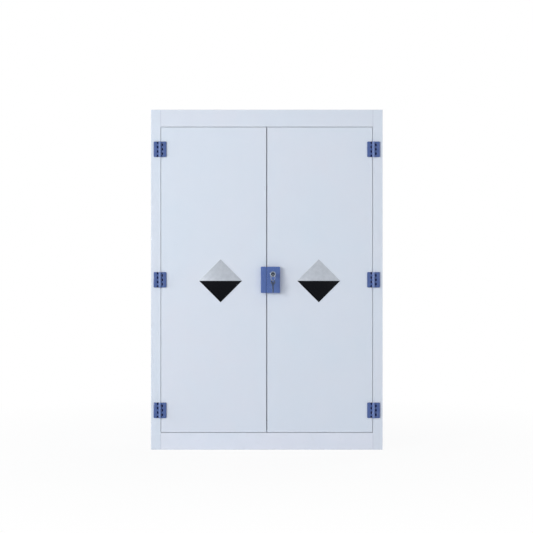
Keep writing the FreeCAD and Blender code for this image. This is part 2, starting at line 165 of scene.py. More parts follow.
def tint(colour):
    """A colour as it looks on a screen, from 0 to 255, as the linear colour that a shader takes."""
    return (*[(channel / 255) ** 2.2 for channel in colour], 1)


def sheet_finish(name, run, seed, white=SHEET_WHITE):
    """Extruded white sheet. run scales the streaks on each axis, and seed moves the clouds."""
    sheet = Finish(name)
    shift = (seed, seed / 3, seed / 7)
    moved = sheet.node("Mapping", {}, {"Vector": sheet.place, "Location": shift})
    clouds = sheet.patches(scale=2.3, detail=3, low=0.35, high=0.65, place=moved)
    haze = sheet.patches(scale=9, detail=2, low=0.3, high=0.7, place=moved)
    streaks = sheet.noise(scale=1, detail=2, place=sheet.stretched(*run))
    low_down = (1 - sheet.axis("Z") / SCUFF_HEIGHT).kept()
    scuffs = sheet.patches(scale=38, detail=4, low=0.60, high=0.72) * low_down * 0.2
    eased, edges = sheet.rounded(SCRAPED_EDGE)
    body = sheet.mixed(clouds, tint(SHEET_COOL), tint(SHEET_WARM))
    body = sheet.mixed(0.5 + haze * 0.35, body, tint(white))
    body = sheet.mixed(streaks * 0.16, body, tint(SHEET_COOL))
    body = sheet.mixed(scuffs, body, tint(SHEET_SCUFF))
    # The edges are painted paler, as a highlight.
    body = sheet.mixed(edges * 0.6, body, tint(SHEET_EDGE_HIGHLIGHT))
    grain = sheet.noise(scale=620, detail=2)
    dimples = sheet.noise(scale=170, detail=1)
    sway = sheet.noise(scale=3.5, detail=1, place=moved)
    relief = sheet.bumped(grain * 0.5 + dimples * 0.3 + streaks * 0.2, GRAIN_RELIEF, eased)
    return sheet.done({
        "Base Color": body,
        "Roughness": SATIN + grain * 0.08 + haze * 0.05 + edges * 0.12,
        "Normal": sheet.bumped(sway, SWAY_RELIEF, relief),
        "IOR": PLASTIC_IOR,
        "Subsurface Weight": 0.35,
        "Subsurface Radius": (1, 1, 1),
        "Subsurface Scale": 0.006,
    })


def dress(finish, *names):
    """Put a finish on CAD nodes in place of their plain one."""
    for name in names:
        for slot in nodes[name].material_slots:
            slot.material = finish


UPRIGHT_RUN = (160, 160, 1.5)
ACROSS_RUN = (1.5, 160, 160)
CASE_WALLS = ("left_side_panel", "right_side_panel", "back_panel")
CASE_DECKS = ("top_panel", "floor_panel", "base_ribs")
dress(sheet_finish("case_sheet_upright", UPRIGHT_RUN, seed=0.7), *CASE_WALLS)
dress(sheet_finish("case_sheet_across", ACROSS_RUN, seed=4.1), *CASE_DECKS)

# The front frame is four strips of 10 mm sheet, butted and welded: two full-height stiles with a
# top rail and a plinth rail between them. Its joints, and those of the case behind it, are scraped
# nearly flush, which leaves a thin proud line that picks up dirt.
SEAM_WIDTH = 0.0026
SEAM_PROUD = 0.0002
SEAM_COLOUR = (196, 202, 216)
# The plinth's sheet is painted lighter than the other sheet, as painted light on the foot of the
# front.
PLINTH_PAINTED_LIGHT = (222, 226, 237)
BEAD_COLOUR = (219, 224, 231)
RIPPLE_RATE = 2400
RIPPLE_RELIEF = 0.00025
BEAD_SIDES = 10
BEAD_STEP = 0.018
BEAD_UNEVEN = 0.14
SMOOTH_ANGLE = math.radians(35)
FACING = 0.9
TOWARDS_FRONT = Vector((0, -1, 0))
UPWARDS = Vector((0, 0, 1))


def bead_finish(name, colour, run_axis):
    """Melted weld rod: glossier than sheet and blotched, with the ripples of each push along it."""
    bead = Finish(name)
    phase = bead.axis(run_axis) * RIPPLE_RATE + bead.noise(scale=60, detail=1) * 9
    ripple = bead.node("Math", {"operation": "SINE"}, {0: phase})
    blotch = bead.patches(scale=45, detail=3, low=0.4, high=0.6)
    normal = bead.node("NewGeometry", {}, {}, "Normal")
    return bead.done({
        "Base Color": bead.mixed(blotch * 0.5, tint(colour), tint(SEAM_COLOUR)),
        "Roughness": 0.28 + blotch * 0.2,
        "Normal": bead.bumped(ripple * 0.5 + 0.5, RIPPLE_RELIEF, normal),
        "IOR": PLASTIC_IOR,
    })


def new_rod(name, radius, start, end, sides):
    """A round bar between two points, with its place in its mesh."""
    run = Vector(end) - Vector(start)
    bpy.ops.object.select_all(action="DESELECT")
    bpy.ops.mesh.primitive_cylinder_add(
        vertices=sides,
        radius=radius,
        depth=run.length,
        location=(Vector(start) + Vector(end)) / 2,
        rotation=run.to_track_quat("Z", "Y").to_euler(),
    )
    rod = bpy.context.object
    rod.name = name
    bpy.ops.object.transform_apply(location=True, rotation=True, scale=True)
    return rod


def pick(piece, kind, wanted):
    """In edit mode, select the faces, edges or verts that a test wants, and nothing else."""
    modes = {"verts": "VERT", "edges": "EDGE", "faces": "FACE"}
    bpy.ops.mesh.select_mode(type=modes[kind])
    bpy.ops.mesh.select_all(action="DESELECT")
    mesh = bmesh.from_edit_mesh(piece.data)
    for element in getattr(mesh, kind):
        element.select_set(wanted(element))
    mesh.select_flush_mode()
    bmesh.update_edit_mesh(piece.data)


def joined(name, pieces):
    """Several meshes as one piece, shaded smooth but for its sharp edges."""
    bpy.ops.object.select_all(action="DESELECT")
    for piece in pieces:
        piece.select_set(True)
    bpy.context.view_layer.objects.active = pieces[0]
    if len(pieces) > 1:
        bpy.ops.object.join()
    bpy.ops.object.shade_smooth_by_angle(angle=SMOOTH_ANGLE)
    bpy.context.object.name = name
    return bpy.context.object


def weld_run(start, end, radius, seed):
    """One run of weld bead: a rod with its ends drawn in and its length a little uneven."""
    run = Vector(end) - Vector(start)
    rod = new_rod("weld_run", radius, start, end, BEAD_SIDES)
    along = run.normalized()
    bpy.ops.object.mode_set(mode="EDIT")
    pick(rod, "faces", lambda face: abs(face.normal.dot(along)) > FACING)
    bpy.ops.mesh.bevel(offset=radius * 0.6, segments=2, affect="EDGES")
    lengthwise = run.length / 2
    pick(rod, "edges", lambda edge: edge.calc_length() > lengthwise)
    bpy.ops.mesh.subdivide(number_cuts=max(4, int(run.length / BEAD_STEP)))
    bpy.ops.mesh.select_all(action="SELECT")
    bpy.ops.transform.vertex_random(offset=radius * BEAD_UNEVEN, seed=seed)
    bpy.ops.object.mode_set(mode="OBJECT")
    return rod


def scraped_seam(start, end, outward):
    """A weld scraped nearly flush with the surface that faces outward."""
    run = (Vector(end) - Vector(start)).normalized() * SEAM_WIDTH
    seam = weld_run(Vector(start) + run, Vector(end) - run, SEAM_WIDTH / 2, seed=3)
    squeeze = Matrix.Scale(SEAM_PROUD * 2 / SEAM_WIDTH, 4, outward)
    seam.data.transform(Matrix.Translation(start) @ squeeze @ Matrix.Translation(-Vector(start)))
    return seam


plinth_low, plinth_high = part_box("plinth_rail")
rail_low, rail_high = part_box("top_rail")
front_y = plinth_low.y
front_seams = []
for x in (plinth_low.x, plinth_high.x):
    for low, high in ((plinth_low, plinth_high), (rail_low, rail_high)):
        front_seams.append(scraped_seam((x, front_y, low.z), (x, front_y, high.z), TOWARDS_FRONT))
frame_seams = joined("frame_seams", front_seams)
frame_seams.data.materials.append(bead_finish("scraped_weld", SEAM_COLOUR, "Z"))
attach(frame_seams, "cabinet")
roof_low, roof_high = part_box("top_panel")
case_sides = ((roof_low.x, Vector((-1, 0, 0))), (roof_high.x, Vector((1, 0, 0))))
case_seams = []
for y in (roof_low.y, roof_high.y):
    left_end = (roof_low.x, y, roof_high.z)
    case_seams.append(scraped_seam(left_end, (roof_high.x, y, roof_high.z), UPWARDS))
    for x, outward in case_sides:
        case_seams.append(scraped_seam((x, y, 0), (x, y, roof_high.z), outward))
for x, outward in case_sides:
    front_end = (x, roof_low.y, roof_low.z)
    case_seams.append(scraped_seam(front_end, (x, roof_high.y, roof_low.z), outward))
outer_seams = joined("case_seams", case_seams)
outer_seams.data.materials.append(bead_finish("scraped_case_weld", SEAM_COLOUR, "Z"))
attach(outer_seams, "cabinet")
dress(sheet_finish("stile_sheet", UPRIGHT_RUN, seed=9.3), "left_stile", "right_stile")
dress(sheet_finish("rail_sheet", ACROSS_RUN, seed=2.2), "top_rail")
dress(sheet_finish("plinth_sheet", ACROSS_RUN, seed=5.6, white=PLINTH_PAINTED_LIGHT), "plinth_rail")

# The door stops are angles and a strip of sheet behind the front frame. The doors shut against
# them. They are welded to the stiles and the case, with a bead in every corner that shows inside.
CASE_BEAD = 0.0030
dress(sheet_finish("stop_sheet", UPRIGHT_RUN, seed=6.5), "left_door_stop", "right_door_stop")
dress(sheet_finish("stop_sheet_across", ACROSS_RUN, seed=1.9), "top_door_stop", "bottom_door_stop")
wall_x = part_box("right_side_panel")[0].x
back_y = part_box("back_panel")[0].y
roof_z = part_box("top_panel")[0].z
floor_low, floor_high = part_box("floor_panel")
stop_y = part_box("left_door_stop")[1].y
corner_runs = [
    ((-wall_x, back_y, roof_z), (wall_x, back_y, roof_z)),
    ((-wall_x, stop_y, roof_z), (wall_x, stop_y, roof_z)),
]
for x in (-wall_x, wall_x):
    corner_runs.append(((x, back_y, floor_high.z), (x, back_y, roof_z)))
    corner_runs.append(((x, stop_y, floor_high.z), (x, stop_y, roof_z)))
    corner_runs.append(((x, stop_y, roof_z), (x, back_y, roof_z)))
rib_places = sorted({round(v.co.x, 4) for v in nodes["base_ribs"].data.vertices})
for x in rib_places:
    corner_runs.append(((x, floor_low.y, floor_low.z), (x, floor_high.y, floor_low.z)))
case_beads = joined("case_weld_beads", [
    weld_run(start, end, CASE_BEAD, seed=number)
    for number, (start, end) in enumerate(corner_runs)
])
case_beads.data.materials.append(bead_finish("case_weld", BEAD_COLOUR, "Z"))
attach(case_beads, "cabinet")

# The sump and the three shelves are open trays of 6 mm sheet, with a bead inside along every joint,
# so that they hold a spill. The shelves lie loose on their clips, and the sump stands on the floor.
TRAY_BEAD = 0.0026
TRAY_BODIES = {
    "sump_tray": "cabinet",
    "shelf_tray_1": "shelf_1",
    "shelf_tray_2": "shelf_2",
    "shelf_tray_3": "shelf_3",
}
TRAY_SHEET = 0.006
tray_weld = bead_finish("tray_weld", BEAD_COLOUR, "X")
for number, (tray, body) in enumerate(TRAY_BODIES.items()):
    low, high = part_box(tray)
    inside_low = low + Vector((TRAY_SHEET, TRAY_SHEET, TRAY_SHEET))
    inside_high = high - Vector((TRAY_SHEET, TRAY_SHEET, CASE_BEAD))
    corners = [
        (inside_low.x, inside_low.y),
        (inside_high.x, inside_low.y),
        (inside_high.x, inside_high.y),
        (inside_low.x, inside_high.y),
    ]
    runs = []
    for corner, following in zip(corners, corners[1:] + corners[:1]):
        runs.append(((*corner, inside_low.z), (*following, inside_low.z)))
        runs.append(((*corner, inside_low.z), (*corner, inside_high.z)))
    beads = joined(tray + "_weld_beads", [
        weld_run(start, end, TRAY_BEAD, seed=number * len(runs) + place)
        for place, (start, end) in enumerate(runs)
    ])
    beads.data.materials.append(tray_weld)
    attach(beads, body)
    dress(sheet_finish(tray + "_sheet", ACROSS_RUN, seed=3.3 + number), tray)

# The uprights are slotted strips of white polypropylene, screwed to the side panels. The clips are
# moulded of the same plastic, and hook into the slots at the height that each shelf is wanted.
SCREW_HEAD = 0.0042
SCREW_DOME = 0.0026
SCREW_SLOT = 0.0009
SCREW_REACH = 0.0026
SCREW_STEPS = ((0.3, 0.25), (0.3, 0.08))
SCREW_SPIN = 0.7
UPRIGHT_SCREW_SHARES = (0.007, 0.34, 0.66, 0.993)
STEEL_COLOUR = (196, 198, 200)
STEEL_STAIN = (150, 148, 144)
STEEL_EDGE = 0.0003
SCRATCH_RELIEF = 0.00002
BEVEL_ANGLE = math.radians(38)
CLIP_WHITE = (214, 218, 226)
CLIP_SHADE = (206, 212, 222)
WHITE_LIT = (228, 232, 238)
MOULDED_EDGE = 0.0006
SKIN_RELIEF = 0.00003


def steel_finish(name, colour, roughness):
    """Plain stainless steel, turned and tumbled, with fine scratches and slight stains."""
    steel = Finish(name)
    eased, edges = steel.rounded(STEEL_EDGE)
    scratches = steel.noise(scale=900, detail=3, place=steel.stretched(1, 1, 0.15))
    stain = steel.patches(scale=160, detail=3, low=0.45, high=0.7)
    return steel.done({
        "Base Color": steel.mixed(stain * 0.25, tint(colour), tint(STEEL_STAIN)),
        "Metallic": 1.0,
        "Roughness": roughness + scratches * 0.16 + stain * 0.1 - edges * 0.08,
        "Normal": steel.bumped(scratches, SCRATCH_RELIEF, eased),
    })


def new_block(name, low, high):
    """A block between two corners, with its place in its mesh."""
    bpy.ops.object.select_all(action="DESELECT")
    bpy.ops.mesh.primitive_cube_add(size=1, location=(Vector(low) + Vector(high)) / 2)
    block = bpy.context.object
    block.name = name
    block.scale = [abs(far - near) for near, far in zip(low, high)]
    bpy.ops.object.transform_apply(location=True, rotation=True, scale=True)
    return block


def combine(piece, operation, tools):
    """Cut tools away from a piece or add them to it, and leave no tool behind."""
    for tool in tools:
        change = piece.modifiers.new(operation, "BOOLEAN")
        change.operation = operation
        change.object = tool
        change.solver = "EXACT"
        bpy.context.view_layer.objects.active = piece
        bpy.ops.object.modifier_apply(modifier=change.name)
        bpy.data.objects.remove(tool)


def ease_edges(piece, width, segments):
    """Round a piece's sharp edges over with an applied bevel."""
    ease = piece.modifiers.new("eased", "BEVEL")
    ease.width = width
    ease.segments = segments
    ease.limit_method = "ANGLE"
    ease.angle_limit = BEVEL_ANGLE
    bpy.context.view_layer.objects.active = piece
    bpy.ops.object.modifier_apply(modifier=ease.name)


screw = new_rod("screw", SCREW_HEAD, (0, 0, 0), (0, 0, SCREW_DOME), sides=24)
bpy.ops.object.mode_set(mode="EDIT")
pick(screw, "faces", lambda face: face.normal.z > FACING)
for inset, rise in SCREW_STEPS:
    bpy.ops.mesh.inset(thickness=SCREW_HEAD * inset)
    bpy.ops.transform.translate(value=(0, 0, SCREW_DOME * rise))
bpy.ops.object.mode_set(mode="OBJECT")
recess_foot = SCREW_DOME * 0.5
half_slot = SCREW_SLOT / 2
combine(screw, "DIFFERENCE", [
    new_block("slot_one", (-SCREW_REACH, -half_slot, recess_foot), (SCREW_REACH, half_slot, 1)),
    new_block("slot_two", (-half_slot, -SCREW_REACH, recess_foot), (half_slot, SCREW_REACH, 1)),
])
screw_steel = steel_finish("screw_steel", STEEL_COLOUR, roughness=0.24)


def drive_screws(name, body, places, outward):
    """A group of screws with their heads on a surface that faces outward."""
    turn = Vector(outward).to_track_quat("Z", "Y").to_matrix().to_4x4()
    heads = []
    for number, place in enumerate(places):
        head = bpy.data.objects.new(name, screw.data.copy())
        bpy.context.scene.collection.objects.link(head)
        spin = Matrix.Rotation(SCREW_SPIN * number, 4, "Z")
        head.data.transform(Matrix.Translation(place) @ turn @ spin)
        heads.append(head)
    group = joined(name, heads)
    group.data.materials.clear()
    group.data.materials.append(screw_steel)
    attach(group, body)


for side, inward in (("left", 1), ("right", -1)):
    places = []
    for row in ("front", "rear"):
        low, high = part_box(f"{side}_{row}_upright")
        face = high.x if inward > 0 else low.x
        for share in UPRIGHT_SCREW_SHARES:
            places.append((face, (low.y + high.y) / 2, low.z + (high.z - low.z) * share))
    drive_screws(side + "_upright_screws", "cabinet", places, (inward, 0, 0))
uprights = [f"{side}_{row}_upright" for side in ("left", "right") for row in ("front", "rear")]
dress(sheet_finish("upright_strip", UPRIGHT_RUN, seed=5.2), *uprights)


def moulded_finish(name, colour, shade, lit, wear_and_highlight=None):
    """Moulded polypropylene, coloured through, with a fine skin, flow marks and rubbed edges.

    The optional mask is 1 where a highlight is painted in the paler lit colour.
    """
    moulding = Finish(name)
    eased, edges = moulding.rounded(MOULDED_EDGE)
    skin = moulding.noise(scale=1600, detail=2)
    flow = moulding.patches(scale=34, detail=3, low=0.35, high=0.65)
    upright = moulding.stretched(1, 1, 0.25)
    rubs = moulding.patches(scale=120, detail=4, low=0.58, high=0.72, place=upright)
    body = moulding.mixed(flow * 0.45, tint(colour), tint(shade))
    body = moulding.mixed(rubs * 0.25 + edges * 0.45, body, tint(lit))
    if wear_and_highlight:
        # The optional mask paints a highlight in the lit colour.
        body = moulding.mixed(wear_and_highlight(moulding) * 0.5, body, tint(lit))
    return moulding.done({
        "Base Color": body,
        "Roughness": 0.17 + skin * 0.08 + flow * 0.05 + rubs * 0.15,
        "Normal": moulding.bumped(skin, SKIN_RELIEF, eased),
        "IOR": PLASTIC_IOR,
        "Specular IOR Level": 0.3,
        "Coat Weight": 0.25,
        "Coat Roughness": 0.14,
    })


dress(moulded_finish("white_moulding", CLIP_WHITE, CLIP_SHADE, WHITE_LIT), "shelf_clips")

# Each door is one 10 mm sheet with a ring of 8 mm sheet welded round its back to keep it flat. The
# bead runs inside the ring. The screws of the hinges and of the lock are driven through the ring.
DOOR_RING_WIDTH = 0.060
DOOR_BEAD = 0.0028
HINGE_SCREW_RISES = (-0.025, 0.025)
HINGE_SCREW_INSET = 0.020
hinge_low, hinge_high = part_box("right_hinge_pins")
hinge_x = (hinge_low.x + hinge_high.x) / 2
pin_radius = (hinge_high.x - hinge_low.x) / 2
door_middle = (hinge_low.z + hinge_high.z) / 2
lock_low, lock_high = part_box("lock_case")
keeper_low, keeper_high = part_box("lock_keeper")
leaf_low, leaf_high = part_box("right_hinge_door_leaves")
LEAF_HEIGHT = 0.075
hinge_step = (leaf_high.z - leaf_low.z - LEAF_HEIGHT) / 2
hinge_heights = [door_middle + step * hinge_step for step in (-1, 0, 1)]
LOCK_SCREW_INSET = 0.014
lock_rows = (lock_low.z + LOCK_SCREW_INSET, lock_high.z - LOCK_SCREW_INSET)
lock_columns = {
    "left": [(keeper_low.x + keeper_high.x) / 2],
    "right": [lock_low.x + LOCK_SCREW_INSET, lock_high.x - LOCK_SCREW_INSET],
}
for side, sign, seed in (("left", -1, 7.7), ("right", 1, 12.4)):
    door_sheet = sheet_finish(side + "_door_sheet", UPRIGHT_RUN, seed)
    dress(door_sheet, side + "_door_panel", side + "_door_frame")
    low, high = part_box(side + "_door_frame")
    ring_front = low.y
    corners = [
        (low.x + DOOR_RING_WIDTH, low.z + DOOR_RING_WIDTH),
        (high.x - DOOR_RING_WIDTH, low.z + DOOR_RING_WIDTH),
        (high.x - DOOR_RING_WIDTH, high.z - DOOR_RING_WIDTH),
        (low.x + DOOR_RING_WIDTH, high.z - DOOR_RING_WIDTH),
    ]
    runs = []
    for number, (corner, following) in enumerate(zip(corners, corners[1:] + corners[:1])):
        start = (corner[0], ring_front, corner[1])
        end = (following[0], ring_front, following[1])
        runs.append(weld_run(start, end, DOOR_BEAD, seed=number))
    beads = joined(side + "_door_weld_beads", runs)
    beads.data.materials.append(bead_finish(side + "_door_weld", BEAD_COLOUR, "Z"))
    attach(beads, side + "_door")
    screw_x = sign * (hinge_x - HINGE_SCREW_INSET)
    rises = [height + rise for height in hinge_heights for rise in HINGE_SCREW_RISES]
    places = [(screw_x, high.y, z) for z in rises]
    places += [(x, high.y, z) for x in lock_columns[side] for z in lock_rows]
    drive_screws(side + "_door_screws", side + "_door", places, (0, 1, 0))

# A hinge is two leaves of moulded blue polypropylene on a steel pin. Each leaf has every second
# knuckle, and windows beside the others, where the opposite knuckles pass. The leaves are screwed
# on from behind.
LEAF_WIDTH = 0.031
LEAF_THICKNESS = 0.0055
LEAF_CORNER = 0.004
BARREL_RADIUS = 0.0070
BARREL_LIFT = 0.0004
KNUCKLES = 7
KNUCKLE_GAP = 0.0003
WINDOW_CLEARANCE = 0.0004
WINDOW_REACH = 0.0074
WINDOW_FLOOR = 0.0012
LEAF_EASE = 0.0005
KNUCKLE_EASE = 0.0004
OVERRUN = 0.001
HINGE_BLUE = (73, 95, 149)
HINGE_SHADE = (63, 85, 139)
# HINGE_LIT is the paler tone of rubs and edges, and of the highlight painted on the barrel's front.
HINGE_LIT = (120, 142, 196)
BARREL_SIDES = 32
BORE_SIDES = 24
CORNER_SEGMENTS = 5
# The windows are painted dark navy, as the shade in the pockets.
WINDOW_SHADE_BLUE = (4, 16, 70)
HOLLOW_DUST = (40, 58, 104)
HOLLOW_RELIEF = 0.00008


def hinge_leaf(side, first):
    """One leaf about its own middle: the pin's axis at x 0 and the leaf's seat at y 0.

    side is the direction that it points in, and first the number of its highest knuckle.
    """
    half = LEAF_HEIGHT / 2
    inner = side * BARREL_RADIUS
    leaf = new_block("leaf", (inner, -LEAF_THICKNESS, -half), (side * LEAF_WIDTH, 0, half))
    bpy.ops.object.mode_set(mode="EDIT")
    outer = LEAF_WIDTH * 0.9
    pick(leaf, "edges", lambda edge: all(v.co.x * side > outer for v in edge.verts)
         and abs(edge.verts[0].co.y - edge.verts[1].co.y) > LEAF_THICKNESS / 2)
    bpy.ops.mesh.bevel(offset=LEAF_CORNER, segments=CORNER_SEGMENTS, affect="EDGES")
    bpy.ops.object.mode_set(mode="OBJECT")
    pitch = LEAF_HEIGHT / KNUCKLES
    tools = []
    knuckles = []
    centre = -BARREL_RADIUS - BARREL_LIFT
    for number in range(KNUCKLES):
        high = half - number * pitch
        low = high - pitch
        if number % 2 == first:
            foot_z = low + KNUCKLE_GAP / 2
            head_z = high - KNUCKLE_GAP / 2
            ends = ((0, centre, foot_z), (0, centre, head_z))
            knuckle = new_rod("knuckle", BARREL_RADIUS, *ends, sides=BARREL_SIDES)
            ease_edges(knuckle, KNUCKLE_EASE, segments=2)
            web_low = (0, -LEAF_THICKNESS, foot_z)
            web_high = (side * (BARREL_RADIUS + OVERRUN), -BARREL_LIFT, head_z)
            knuckles.append(new_block("web", web_low, web_high))
            knuckles.append(knuckle)
            continue
        rows = (low - KNUCKLE_GAP / 2, high + KNUCKLE_GAP / 2)
        through = side * (BARREL_RADIUS + WINDOW_CLEARANCE)
        tools.append(new_block("window", (0, -1, rows[0]), (through, 1, rows[1])))
        pocket = side * (BARREL_RADIUS + WINDOW_CLEARANCE + WINDOW_REACH)
        tools.append(new_block("pocket", (0, -1, rows[0]), (pocket, -WINDOW_FLOOR, rows[1])))
    combine(leaf, "DIFFERENCE", tools)
    ease_edges(leaf, LEAF_EASE, segments=2)
    combine(leaf, "UNION", knuckles)
    bore_radius = pin_radius + WINDOW_CLEARANCE / 8
    bore = new_rod("bore", bore_radius, (0, centre, -1), (0, centre, 1), sides=BORE_SIDES)
    combine(leaf, "DIFFERENCE", [bore])
    return leaf


leaves = {-1: hinge_leaf(-1, first=1), 1: hinge_leaf(1, first=0)}
seat_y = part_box("right_stile")[0].y


def barrel_front_highlight(plastic):
    """A mask that rises to 1 at the front of the barrel, which stands proud and gets a painted
    highlight.
    """
    return ((seat_y - LEAF_THICKNESS - plastic.axis("Y")) / BARREL_RADIUS).kept()


def window_shade_finish():
    """The windows' faces, painted dark navy as the shade in the pockets; the mould left them rough
    and dust gathers there.
    """
    hollow = Finish("hinge_windows")
    rough = hollow.noise(scale=1100, detail=3)
    dust = hollow.patches(scale=300, detail=3, low=0.5, high=0.75)
    normal = hollow.node("NewGeometry", {}, {}, "Normal")
    return hollow.done({
        "Base Color": hollow.mixed(dust * 0.2, tint(WINDOW_SHADE_BLUE), tint(HOLLOW_DUST)),
        "Roughness": 0.7 + rough * 0.2,
        "Normal": hollow.bumped(rough, HOLLOW_RELIEF, normal),
        "Specular IOR Level": 0.05,
    })


def in_window(face):
    """Whether a face of the leaves lies in a window beside the barrel, below the leaf's front."""
    centre = face.calc_center_median()
    past_barrel = abs(abs(centre.x) - hinge_x) - BARREL_RADIUS
    beside = 0 < past_barrel < WINDOW_CLEARANCE + WINDOW_REACH + OVERRUN
    return beside and centre.y > seat_y - LEAF_THICKNESS + LEAF_EASE / 2


hinge_plastic = moulded_finish("hinge_plastic", HINGE_BLUE, HINGE_SHADE, HINGE_LIT, barrel_front_highlight)
window_shade_plastic = window_shade_finish()
for side, sign in (("left", -1), ("right", 1)):
    halves = (("frame", "cabinet", leaves[sign]), ("door", side + "_door", leaves[-sign]))
    for part, body, leaf in halves:
        copies = []
        for height in hinge_heights:
            copy = bpy.data.objects.new("leaf", leaf.data.copy())
            bpy.context.scene.collection.objects.link(copy)
            copy.data.transform(Matrix.Translation((sign * hinge_x, seat_y, height)))
            copies.append(copy)
        group = joined(side + "_" + part + "_leaves", copies)
        group.data.materials.clear()
        group.data.materials.append(hinge_plastic)
        group.data.materials.append(window_shade_plastic)
        bpy.ops.object.mode_set(mode="EDIT")
        pick(group, "faces", in_window)
        group.active_material_index = 1
        bpy.ops.object.material_slot_assign()
        bpy.ops.object.mode_set(mode="OBJECT")
        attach(group, body)
        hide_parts(side + "_hinge_" + part + "_leaves")
for leaf in leaves.values():
    bpy.data.objects.remove(leaf)
pin_steel = steel_finish("pin_steel", STEEL_COLOUR, roughness=0.2)
dress(pin_steel, "left_hinge_pins", "right_hinge_pins")

# A square plate stands on its corner on each door: thin board with a printed face, silver-grey
# above the middle and black below, with a pale line round the edge. It is stuck on, and its face
# is bare.
PLATE_SIDE = 0.1495
PLATE_THICKNESS = 0.0010
PLATE_CORNER = 0.0008
PLATE_EASE = 0.0003
PLATE_RELIEF = 0.00002
PLATE_LINE = 0.0012
PLATE_HEIGHT = 0.8195
PLATE_PLACES = {"left": -0.2245, "right": 0.2520}
PLATE_SILVER = (184, 190, 198)
PLATE_GREY = (170, 176, 185)
PLATE_BLACK = (6, 10, 17)
PLATE_EDGE = (226, 231, 239)
LINE_SHARPNESS = 2500
MIDDLE_SHARPNESS = 4000


def plate_finish(name, centre_x):
    """A two-tone printed face, measured from the plate's middle."""
    plate = Finish(name)
    across = abs(plate.axis("X") - centre_x)
    up = plate.axis("Z") - PLATE_HEIGHT
    reach = PLATE_SIDE / math.sqrt(2)
    line_start = reach - PLATE_LINE * math.sqrt(2)
    line = ((across + abs(up) - line_start) * LINE_SHARPNESS).kept()
    below = (0.5 - up * MIDDLE_SHARPNESS).kept()
    grain = plate.noise(scale=1300, detail=2)
    blotch = plate.patches(scale=60, detail=3, low=0.35, high=0.65)
    fleck = plate.patches(scale=900, detail=1, low=0.6, high=0.75)
    silver = plate.mixed(blotch * 0.6 + grain * 0.3, tint(PLATE_SILVER), tint(PLATE_GREY))
    black = plate.mixed(fleck * 0.06, tint(PLATE_BLACK), tint(PLATE_GREY))
    body = plate.mixed(below, silver, black)
    eased = plate.rounded(PLATE_EASE)[0]
    return plate.done({
        "Base Color": plate.mixed(line * 0.9, body, tint(PLATE_EDGE)),
        "Roughness": 0.42 - below * 0.12 + blotch * 0.06,
        "Metallic": (1 - below) * (1 - line) * 0.35,
        "Normal": plate.bumped(grain, PLATE_RELIEF, eased),
        "Specular IOR Level": 0.08,
    })


for side, centre_x in PLATE_PLACES.items():
    half = PLATE_SIDE / 2
    face_y = seat_y - PLATE_THICKNESS
    plate = new_block(side + "_door_plate", (-half, face_y, -half), (half, seat_y, half))
    bpy.ops.object.mode_set(mode="EDIT")
    pick(plate, "edges", lambda edge: abs(edge.verts[0].co.y - edge.verts[1].co.y)
         > PLATE_THICKNESS / 2)
    bpy.ops.mesh.bevel(offset=PLATE_CORNER, segments=4, affect="EDGES")
    pick(plate, "faces", lambda face: face.normal.dot(TOWARDS_FRONT) > FACING)
    bpy.ops.mesh.bevel(offset=PLATE_EASE, segments=2, affect="EDGES")
    bpy.ops.object.mode_set(mode="OBJECT")
    upright = Matrix.Rotation(math.radians(45), 4, "Y")
    plate.data.transform(Matrix.Translation((centre_x, 0, PLATE_HEIGHT)) @ upright)
    plate = joined(plate.name, [plate])
    plate.data.materials.append(plate_finish(side + "_plate_face", centre_x))
    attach(plate, side + "_door")

# Two slide bolts hold the left door from inside, top and bottom. Each has a white moulded bracket
# screwed to the door's ring, a blue moulded bar with a thumb piece, and a white strike welded
# behind the stop.
BRACKET_SCREW_INSET = 0.0045
BRACKET_EASE = 0.0007
BRACKET_PLATE = 0.003
BRACKET_WHITE = (212, 217, 226)
BRACKET_SHADE = (203, 210, 221)
BOLT_BLUE = (84, 108, 166)
BOLT_SHADE = (76, 98, 156)
BOLT_LIT = (122, 145, 198)
MERGE_REACH = 0.00001
FLAT_ANGLE = math.radians(0.5)


def eased_twin(node, body, finish, width, segments):
    """A copy of a CAD node with its edges rounded over, which stands for the node."""
    twin = bpy.data.objects.new(node + "_eased", nodes[node].data.copy())
    bpy.context.scene.collection.objects.link(twin)
    bpy.ops.object.select_all(action="DESELECT")
    twin.select_set(True)
    bpy.context.view_layer.objects.active = twin
    bpy.ops.mesh.customdata_custom_splitnormals_clear()
    bpy.ops.object.mode_set(mode="EDIT")
    bpy.ops.mesh.select_all(action="SELECT")
    bpy.ops.mesh.remove_doubles(threshold=MERGE_REACH)
    bpy.ops.mesh.dissolve_limited(angle_limit=FLAT_ANGLE)
    bpy.ops.object.mode_set(mode="OBJECT")
    ease_edges(twin, width, segments)
    twin = joined(twin.name, [twin])
    twin.data.materials.clear()
    twin.data.materials.append(finish)
    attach(twin, body)
    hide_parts(node)
    return twin


bolt_white = moulded_finish("bracket_moulding", BRACKET_WHITE, BRACKET_SHADE, WHITE_LIT)
bolt_blue = moulded_finish("bolt_moulding", BOLT_BLUE, BOLT_SHADE, BOLT_LIT)
dress(bolt_blue, "lock_bolt")
for end in ("top", "bottom"):
    guide, strike, bar = end + "_bolt_guide", end + "_bolt_strike", end + "_slide_bolt"
    eased_twin(guide, "left_door", bolt_white, BRACKET_EASE, segments=2)
    eased_twin(strike, "cabinet", bolt_white, BRACKET_EASE, segments=2)
    eased_twin(bar, end + "_bolt", bolt_blue, BRACKET_EASE, segments=2)
    low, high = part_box(end + "_bolt_guide")
    columns = (low.x + BRACKET_SCREW_INSET, high.x - BRACKET_SCREW_INSET)
    rows = (low.z + 2 * BRACKET_SCREW_INSET, high.z - 2 * BRACKET_SCREW_INSET)
    places = [(x, low.y + BRACKET_PLATE, z) for x in columns for z in rows]
    drive_screws(end + "_bracket_screws", "left_door", places, (0, 1, 0))

